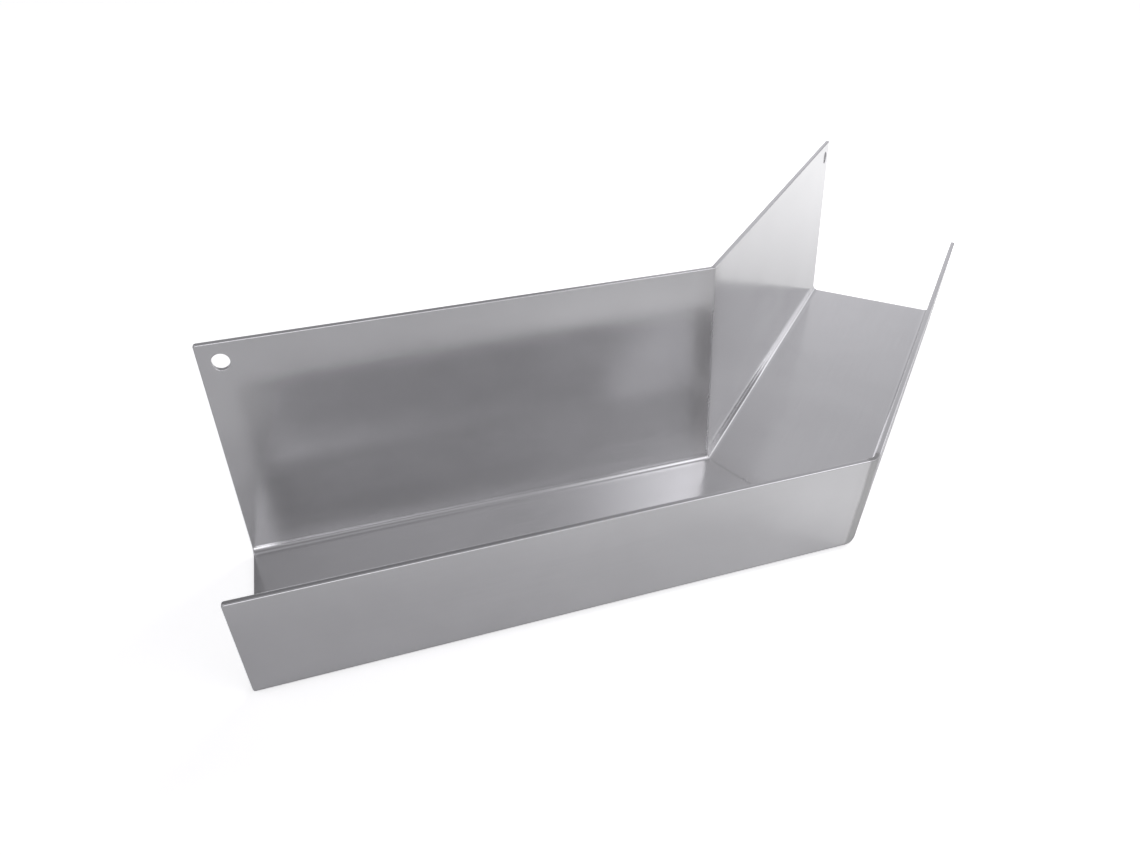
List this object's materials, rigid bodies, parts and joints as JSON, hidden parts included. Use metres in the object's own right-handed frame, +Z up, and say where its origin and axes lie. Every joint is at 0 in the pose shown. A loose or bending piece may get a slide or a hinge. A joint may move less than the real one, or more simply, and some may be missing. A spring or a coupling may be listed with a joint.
{
  "type": "play trough corner",
  "caption": "Open sheet-steel play trough with a 45 degree bend, a tall fixing wall on the inside of the bend and a low wall on the outside, for sand, water or toys to slide along.",
  "frame": {"origin": "bottom centre of the bounding box: on the plane of symmetry, level with the underside of the floor", "axes": "+X across the mitre plane towards the right leg's free end; +Y from the low walls to the tall walls; +Z up"},
  "size_m": [0.6108, 0.2338, 0.135],
  "materials": {
    "sheet_steel": "satin, half-mirror stainless sheet with a faint mill grain and rounded, deburred edges",
    "weld_metal": "stainless weld metal, ground nearly flush and polished"
  },
  "bodies": {
    "root": {"left_channel": "sheet_steel", "right_channel": "sheet_steel", "weld_tall_wall": "weld_metal", "weld_floor": "weld_metal", "weld_low_wall": "weld_metal"}
  },
  "joints": []
}
